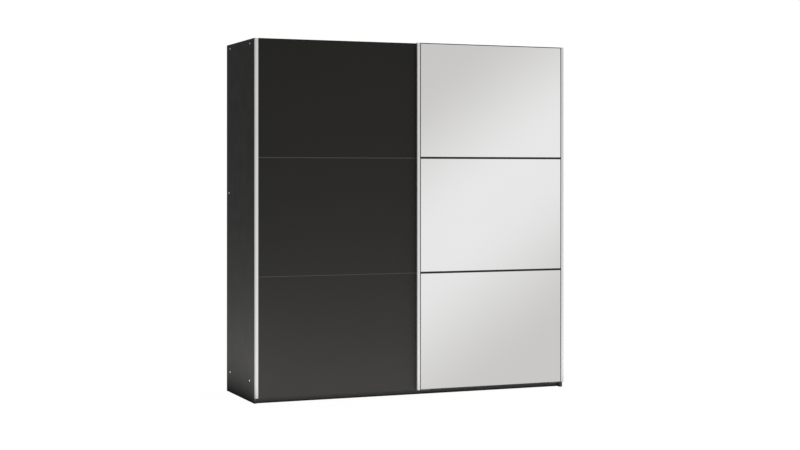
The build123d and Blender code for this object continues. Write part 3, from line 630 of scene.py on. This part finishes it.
# %% [markdown]
# ### Back sheets
#
# The back is thin hardboard.  Its front face is printed to go with the inside, and its rear is
# left brown, with long pale fibres and darker flecks.  Each face could be an object of its own,
# but a sheet is one piece, so one material serves both and the `Facing` group keeps them apart.

# %% Hardboard
FIBRES = (160.0, 1.0, 600.0)
BROWN_DARK, BROWN_PALE = (0.155, 0.085, 0.042, 1), (0.30, 0.18, 0.098, 1)
FLECK, PRINTED = (0.07, 0.038, 0.02, 1), (0.040, 0.039, 0.037, 1)

material, tree, place = begin("back_sheet")
flecks = noise(tree, place, scale=900.0, detail=3.0, roughness=0.7)
fibres = noise(tree, stretched(tree, place, FIBRES), detail=4.0, roughness=0.65)
brown = mix_colours(tree, remap(tree, fibres, 0, 1, 0.3, 0.75), BROWN_DARK, BROWN_PALE)
brown = mix_colours(tree, remap(tree, flecks, 0, 0.7, 0.62, 0.75), brown, FLECK)
skin = place_group(tree, laminate_skin, Coordinates=place, Colour=PRINTED, Gloss=0.55)
rear = place_group(tree, facing, Way=TO_THE_WALL)["Mask"]
finish(
    tree,
    Base_Color=mix_colours(tree, rear, skin["Colour"], brown),
    Roughness=remap(tree, rear, 0.55, 0.8),
    Normal=bump(tree, fibres, depth=0.05 * MM, strength=0.4),
    Specular_IOR_Level=0.3,
)
finishes["back_sheet"] = material
print("hardboard:", len(tree.nodes), "nodes")

# %% [markdown]
# ### Aluminium
#
# The door profiles, the track and the guide rail are extruded aluminium, brushed along their
# length and anodised to a satin silver.  The anodic film is pale and slightly milky: it scatters
# part of the light, so the metal stays bright even where it mirrors a dim part of the room.
# `body` is how metallic the surface is, and the rest is that milky share.  The same builder
# serves both directions of brushing; only `Lines` changes.  It also makes the dark satin strips
# between the mirrors and the slim trims of the rear door, which differ in colour and gloss.
# Anisotropic gloss could stretch the highlights along the lines, but on profiles this narrow,
# lines in the roughness and the relief look the same.


# %% Aluminium
def aluminium(name, lines, colour=(0.80, 0.80, 0.795, 1), gloss=0.34, body=0.95):
    material, tree, place = begin(name)
    drawn = place_group(tree, drawn_lines, Coordinates=place, Lines=lines)
    shade = swing(tree, drawn["Value"], 0.93, 1.05)
    finish(
        tree,
        Base_Color=dusted(tree, place, scaled(tree, colour, shade), amount=0.15),
        Metallic=body,
        Roughness=swing(tree, drawn["Value"], gloss - 0.05, gloss + 0.07),
        Normal=bump(tree, drawn["Height"], depth=0.01 * MM, strength=0.35),
    )
    return material


UPRIGHT, LEVEL = (2600, 2600, 5), (5, 2600, 2600)
STRIP_DARK, TRIM_DARK = (0.035, 0.034, 0.033, 1), (0.085, 0.083, 0.080, 1)
finishes["satin_aluminium"] = aluminium("satin_aluminium", UPRIGHT)
finishes["level_aluminium"] = aluminium("level_aluminium", LEVEL)
finishes["divider"] = aluminium("divider", LEVEL, STRIP_DARK, gloss=0.42, body=1.0)
finishes["door_trim"] = aluminium("door_trim", LEVEL, TRIM_DARK, gloss=0.38, body=1.0)
print("lines per metre:", UPRIGHT, "and", LEVEL)

# %% [markdown]
# ### Steel fittings
#
# Hangers and guide brackets are pressed from sheet and zinc plated; axles, pins and screws are
# turned and plated brighter, with a fine crystal bloom that catches light from every side; the
# clothes rails are chromed tube.


# %% Zinc
RUBBED = (900, 900, 300)


def zinc(name, brightness, gloss, body=1.0):
    material, tree, place = begin(name)
    bloom = place_group(
        tree, zinc_bloom, Coordinates=place, Brightness=brightness, Gloss=gloss)
    rub = place_group(tree, drawn_lines, Coordinates=place, Lines=RUBBED)
    finish(
        tree,
        Base_Color=dusted(tree, place, bloom["Colour"], amount=0.12),
        Metallic=body,
        Roughness=bloom["Roughness"],
        Normal=bump(tree, rub["Height"], depth=0.01 * MM, strength=0.3),
    )
    return material


finishes["plated_steel"] = zinc("plated_steel", brightness=0.62, gloss=0.36)
finishes["bright_zinc"] = zinc("bright_zinc", brightness=0.95, gloss=0.34, body=0.4)
print("zinc is rubbed with", RUBBED, "lines per metre")

# %% Chrome
CHROME, POLISHED = (0.86, 0.87, 0.88, 1), (3, 1400, 1400)

material, tree, place = begin("rail_chrome")
polish = place_group(tree, drawn_lines, Coordinates=place, Lines=POLISHED)["Value"]
finish(
    tree,
    Base_Color=scaled(tree, CHROME, swing(tree, polish, 0.97, 1.03)),
    Metallic=1.0,
    Roughness=swing(tree, polish, 0.06, 0.14),
)
finishes["rail_chrome"] = material
print("chrome:", len(tree.nodes), "nodes")

# %% [markdown]
# ### Plastics and rubber
#
# Wheels and guide blades are nylon, rail brackets and stop blocks a dark moulded plastic, and the
# buffers rubber.  They differ in colour, gloss and the size of their texture, so one builder with
# a handful of values makes them all.


# %% Moulded materials
def moulded(name, colour, gloss, grain_size, relief, specular=0.5):
    material, tree, place = begin(name)
    surface = place_group(
        tree, moulded_texture, Coordinates=place, Grain_Size=grain_size, Gloss=gloss)
    shade = swing(tree, noise(tree, place, scale=40.0, detail=3.0), 0.94, 1.06)
    finish(
        tree,
        Base_Color=dusted(tree, place, scaled(tree, colour, shade), amount=0.12),
        Roughness=surface["Roughness"],
        Normal=bump(tree, surface["Height"], depth=relief, strength=0.5),
        Specular_IOR_Level=specular,
    )
    return material


finishes["wheel_nylon"] = moulded(
    "wheel_nylon", (0.66, 0.65, 0.60, 1), gloss=0.34, grain_size=0.7 * MM, relief=0.01 * MM)
finishes["guide_nylon"] = moulded(
    "guide_nylon", (0.030, 0.030, 0.031, 1), gloss=0.38, grain_size=0.6 * MM, relief=0.02 * MM)
finishes["dark_plastic"] = moulded(
    "dark_plastic", (0.038, 0.038, 0.039, 1), gloss=0.46, grain_size=0.5 * MM,
    relief=0.03 * MM)
finishes["buffer_rubber"] = moulded(
    "buffer_rubber", grey(0.022), gloss=0.75, grain_size=0.9 * MM, relief=0.04 * MM,
    specular=0.25)
print(len(finishes), "finishes so far")

# %% [markdown]
# ### Mirror glass
#
# A mirror is silver behind clear glass, which for light is a perfectly smooth metal with a trace
# of green.  It must have a roughness of exactly zero to count as a sharp reflection, so its
# variation lies in the colour: the silvering drifts by a percent or so.  The ground edges are
# another matter: they are matt, with the marks of the grinding wheel, and look dark beside the
# mirror.

# %% Silver
SILVER, SILVER_DRIFT = (0.915, 0.92, 0.915, 1), 0.008

material, tree, place = begin("mirror")
drift = swing(tree, noise(tree, place, scale=1.3), 1 - SILVER_DRIFT, 1 + SILVER_DRIFT)
finish(tree, Base_Color=scaled(tree, SILVER, drift), Metallic=1.0, Roughness=0.0)
finishes["mirror"] = material
print("silver drifts by", SILVER_DRIFT, "either way")

# %% Ground glass
GROUND_GLASS, WHEEL_MARKS = (0.10, 0.105, 0.103, 1), (1800, 1800, 1800)

material, tree, place = begin("ground_glass")
marks = place_group(tree, drawn_lines, Coordinates=place, Lines=WHEEL_MARKS)["Value"]
finish(
    tree,
    Base_Color=scaled(tree, GROUND_GLASS, swing(tree, marks, 0.9, 1.1)),
    Roughness=swing(tree, marks, 0.3, 0.42),
)
finishes["ground_glass"] = material
print("ground glass:", len(tree.nodes), "nodes")

# %% [markdown]
# ## Dressing the frame
#
# The record that came with the frame names a material slot for every piece.  Most slots map to
# the finish of the same name.  Two finishes have a second version: plinths face front and back,
# so they take the laminate without a raw edge, and the rails that lie level take the aluminium
# that is brushed level.

# %% Give every piece its finish
SPECIAL = {
    "front_plinth": "plinth_laminate",
    "rear_plinth": "plinth_laminate",
    "runner_track": "level_aluminium",
    "guide_rail": "level_aluminium",
}

slots = {piece["node"]: piece["material_slot"] for piece in frame["record"]["subparts"]}
for name, piece in frame["nodes"].items():
    piece.data.materials.clear()
    piece.data.materials.append(finishes[SPECIAL.get(name, slots[name])])
print(len(frame["nodes"]), "pieces dressed in", len(set(slots.values())), "slots")

# %% [markdown]
# ## Mirrors with ground edges
#
# A frame's mirror is a plain slab.  The real pane has its front edges ground to a narrow bevel,
# the arris, which shows as a fine dull line around each mirror.  Each pane is rebuilt as a slab
# whose four front edges are bevelled; the front takes the silver and the rest the ground glass.
# A line painted on the glass would be simpler, but only a real bevel turns with the light.
# Panes are bonded by hand against a spacer, so they sit a little to one side, and the dark gap
# beside the handle profile is the wider one.

# %% Grind the mirrors
ARRIS = 1.3 * MM
ASIDE = 0.7 * MM
HAIR = MM / 10  # nearer than this counts as touching
FACES_FRONT = -0.99


def mirror_pane(node):
    low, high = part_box(node)
    size, middle = high - low, (high + low) / 2 + ASIDE * X
    mesh = bmesh.new()
    shape = Matrix.Translation(middle) @ Matrix.Diagonal((*size, 1))
    bmesh.ops.create_cube(mesh, size=1, matrix=shape)
    front = {vertex for vertex in mesh.verts if abs(vertex.co.y - low.y) < HAIR}
    front_edges = [edge for edge in mesh.edges if front.issuperset(edge.verts)]
    bmesh.ops.bevel(mesh, geom=front_edges, offset=ARRIS, segments=1, affect="EDGES")
    for face in mesh.faces:
        face.material_index = 0 if face.normal.y < FACES_FRONT else 1
    data = bpy.data.meshes.new(node + "_glass")
    mesh.to_mesh(data)
    mesh.free()
    data.materials.append(finishes["mirror"])
    data.materials.append(finishes["ground_glass"])
    pane = bpy.data.objects.new(node + "_glass", data)
    bpy.context.scene.collection.objects.link(pane)
    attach(pane, "mirror_door")
    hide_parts(node)
    return pane


panes = [mirror_pane(name) for name in ("upper_mirror", "middle_mirror", "lower_mirror")]
print("panes:", [tuple(round(side, 3) for side in pane.dimensions) for pane in panes])

# %% [markdown]
# ## Screws
#
# A screw head is turned, so it is built from rings around an axis.  Only the recess is not round.
# A boolean cut would give it, at the price of a ragged mesh.  Instead, a ring's radius may change
# with the angle, because a hexagon and a cross are both simple functions of the angle.
# `turned_shape` takes a list of rings, each with a radius and a height, and stitches them
# together.


# %% Rings into heads
STEPS = 48
CREASE = math.radians(35)


def turned_shape(name, rings, finish_name):
    """A closed shape from rings of (radius, height); a radius may be a function of the angle."""
    mesh = bmesh.new()
    loops = []
    for radius, height in rings:
        loop = []
        for step in range(STEPS):
            angle = 2 * math.pi * step / STEPS
            reach = radius(angle) if callable(radius) else radius
            corner = (reach * math.cos(angle), reach * math.sin(angle), height)
            loop.append(mesh.verts.new(corner))
        loops.append(loop)
    for lower, upper in zip(loops, loops[1:]):
        for step in range(STEPS):
            after = (step + 1) % STEPS
            mesh.faces.new((lower[step], lower[after], upper[after], upper[step]))
    mesh.faces.new(reversed(loops[0]))
    mesh.faces.new(loops[-1])
    for face in mesh.faces:
        face.smooth = True
    for edge in mesh.edges:
        edge.smooth = edge.calc_face_angle(0.0) < CREASE
    data = bpy.data.meshes.new(name)
    mesh.to_mesh(data)
    mesh.free()
    data.materials.append(finishes[finish_name])
    print(name, "has", len(data.vertices), "vertices")
    return data


print("each ring has", STEPS, "corners")

# %% [markdown]
# A carcass screw has a low domed head with a hexagon socket, and a small screw a pan head with a
# cross recess.  The last rings of each go down into the recess.


# %% Recesses
def hexagon(across_flats):
    return lambda angle: across_flats / 2 / math.cos(angle % (math.pi / 3) - math.pi / 6)


def cross(reach, arm):
    """Outline of a cross recess: narrow arms, and a hub where they meet."""
    hub = arm * 0.85
    least = 1e-3  # keeps the flank finite straight along an arm

    def radius(angle):
        turn = abs((angle + math.pi / 4) % (math.pi / 2) - math.pi / 4)
        flank = arm / 2 / max(math.sin(turn), least)
        return min(reach, max(flank, hub))
    return radius


SOCKET = hexagon(4 * MM)
CROSS = cross(2.3 * MM, 1.0 * MM)
print("a socket is", round(2 * SOCKET(0) / MM, 2), "mm across its corners")

# %% Two heads
confirmat = turned_shape("confirmat_head", [
    (3.5 * MM, -2.4 * MM), (5.0 * MM, 0), (5.0 * MM, 0.4 * MM), (4.7 * MM, 0.9 * MM),
    (4.1 * MM, 1.3 * MM), (3.3 * MM, 1.6 * MM),
    (lambda angle: SOCKET(angle) + 0.25 * MM, 1.7 * MM), (SOCKET, 1.5 * MM),
    (SOCKET, -1.0 * MM)], "bright_zinc")
pan_head = turned_shape("pan_head", [
    (3.7 * MM, 0), (3.7 * MM, 0.5 * MM), (3.4 * MM, 1.2 * MM), (2.9 * MM, 1.7 * MM),
    (CROSS, 1.95 * MM), (lambda angle: CROSS(angle) * 0.8, 0.9 * MM)], "bright_zinc")

# %% [markdown]
# The places come from the frame.  Some pieces of it hold several solids, and `solids_of` finds
# them by walking from vertex to vertex, which gives a box for each.  `drive` then sets a copy of
# a head at each place, looking out along its axis, and joins all the heads of one body into one
# object.


# %% Find solids
WELD = MM / 1000


def solids_of(node):
    """Boxes and vertices of the separate solids in a frame piece, from left to right."""
    mesh = bmesh.new()
    mesh.from_mesh(frame["nodes"][node].data)
    bmesh.ops.remove_doubles(mesh, verts=mesh.verts, dist=WELD)
    left, found = set(mesh.verts), []
    while left:
        stack, island = [left.pop()], []
        while stack:
            vertex = stack.pop()
            island.append(vertex.co.copy())
            for edge in vertex.link_edges:
                other = edge.other_vert(vertex)
                if other in left:
                    left.remove(other)
                    stack.append(other)
        low = Vector([min(co[axis] for co in island) for axis in range(3)])
        high = Vector([max(co[axis] for co in island) for axis in range(3)])
        found.append((low, high, island))
    mesh.free()
    return sorted(found, key=lambda solid: (solid[0].x, solid[0].z, solid[0].y))


print("carcass_screws holds", len(solids_of("carcass_screws")), "solids")


# %% Drive screws
def drive(name, head, places, body, replaced=()):
    """One object with a head at each (place, direction), riding on a body."""
    mesh = bmesh.new()
    for place, direction in places:
        copy = head.copy()
        turn = direction.to_track_quat("Z", "Y").to_matrix().to_4x4()
        copy.transform(Matrix.Translation(place) @ turn)
        mesh.from_mesh(copy)
        bpy.data.meshes.remove(copy)
    data = bpy.data.meshes.new(name)
    mesh.to_mesh(data)
    mesh.free()
    data.materials.append(head.materials[0])
    screws = bpy.data.objects.new(name, data)
    bpy.context.scene.collection.objects.link(screws)
    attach(screws, body)
    if replaced:
        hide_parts(*replaced)
    print(name, len(places))


print("a head has its axis along", tuple(Z))

# %% [markdown]
# The carcass screws are solids of the frame.  A screw lies along its longest side, and its head
# is at the end that is wider, so both can be read from its vertices.


# %% Carcass screws
def head_of(solid):
    """Place and direction of a screw's head."""
    low, high, island = solid
    size = high - low
    axis = max(range(3), key=lambda index: size[index])
    middle = (low + high) / 2
    ends = {}
    for end, value in ((-1, low[axis]), (1, high[axis])):
        near = [co for co in island if abs(co[axis] - value) < HAIR]
        ends[end] = max((co - middle).length for co in near)
    way = max(ends, key=ends.get)
    place, direction = middle.copy(), Vector((0, 0, 0))
    place[axis] = high[axis] if way > 0 else low[axis]
    direction[axis] = way
    return place, direction


carcass_places = [head_of(solid) for solid in solids_of("carcass_screws")]
drive("carcass_screw_heads", confirmat, carcass_places, "carcass", ["carcass_screws"])

# %% [markdown]
# The partition is held from above and below by the same screws, driven through the top and bottom
# panels.  The frame leaves these four out.  They stand level with the screws at the ends of the
# same panels, so the ones in the left side panel tell how deep each goes.

# %% Partition screws
low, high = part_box("centre_partition")
middle = (low.x + high.x) / 2
top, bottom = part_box("top_panel")[1].z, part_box("bottom_panel")[0].z
places = []
for place, _ in carcass_places:
    if place.x < 0 and place.z > high.z:
        places.append((Vector((middle, place.y, top)), Z))
    if place.x < 0 and place.z < low.z:
        places.append((Vector((middle, place.y, bottom)), -Z))
drive("partition_screw_heads", confirmat, places, "carcass")

# %% [markdown]
# The small screws sit in the slots of the hangers and guides, in the flanges of the two rails,
# and above and below each end of the clothes rails.  Their places are measured from the boxes of
# those pieces, so they stay in their slots if the frame changes size.


# %% Screws of the hangers and guides
HANGERS = {"rear_door": "rear_door_hangers", "mirror_door": "mirror_door_hanger_plates"}
GUIDES = {"rear_door": "rear_door_guide_brackets", "mirror_door": "mirror_door_guide_plates"}
HANGER_SPACING, HANGER_RISE, HANGER_PLATE = 44 * MM, 32 * MM, 2.5 * MM
GUIDE_SPACING, GUIDE_DROP, GUIDE_PLATE = 36 * MM, 24 * MM, 2 * MM


def pair(low, high, spacing, y, z):
    """Two screws side by side about the middle of a plate, looking back."""
    middle = (low.x + high.x) / 2
    return [(Vector((middle + side * spacing, y, z)), Y) for side in (-0.5, 0.5)]


for door in HANGERS:
    places = []
    for low, high, _ in solids_of(HANGERS[door]):
        places += pair(low, high, HANGER_SPACING, low.y + HANGER_PLATE, low.z + HANGER_RISE)
    for low, high, _ in solids_of(GUIDES[door]):
        places += pair(low, high, GUIDE_SPACING, low.y + GUIDE_PLATE, high.z - GUIDE_DROP)
    drive(door + "_hanger_screws", pan_head, places, door)


# %% Screws of the rails
TRACK_SCREWS, TRACK_INSET = 9, 13 * MM
RAIL_SCREWS, RAIL_WALL, RAIL_DROP = 7, 1.3 * MM, 9 * MM
BRACKET_PLATE, BRACKET_RISE = 2.5 * MM, 22.5 * MM


def along(low, high, count):
    step = (high - low) / count
    return [low + step * (index + 0.5) for index in range(count)]


low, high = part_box("runner_track")
back = high.y - TRACK_INSET
places = [(Vector((x, back, high.z)), Z) for x in along(low.x, high.x, TRACK_SCREWS)]
low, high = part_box("guide_rail")
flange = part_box("front_plinth")[0].y - RAIL_WALL
drop = high.z - RAIL_DROP
places += [(Vector((x, flange, drop)), -Y) for x in along(low.x, high.x, RAIL_SCREWS)]
for index, (low, high, _) in enumerate(solids_of("clothes_rail_brackets")):
    inward = X if index % 2 == 0 else -X
    face = (low.x if index % 2 == 0 else high.x) + inward.x * BRACKET_PLATE
    middle = (low + high) / 2
    for rise in (-BRACKET_RISE, BRACKET_RISE):
        places.append((Vector((face, middle.y, middle.z + rise)), inward))
drive("rail_screws", pan_head, places, "carcass")

# %% [markdown]
# ## Compare the sizes
#
# Dressing a frame must not make it grow.  The frame's own box, taken right after loading, is set
# against that of the dressed piece, and the growth along each axis is printed.

# %% Compare the two boxes
low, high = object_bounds()
print("grown by", [round((b - a) / MM, 2) for a, b in zip(cad_high - cad_low, high - low)], "mm")
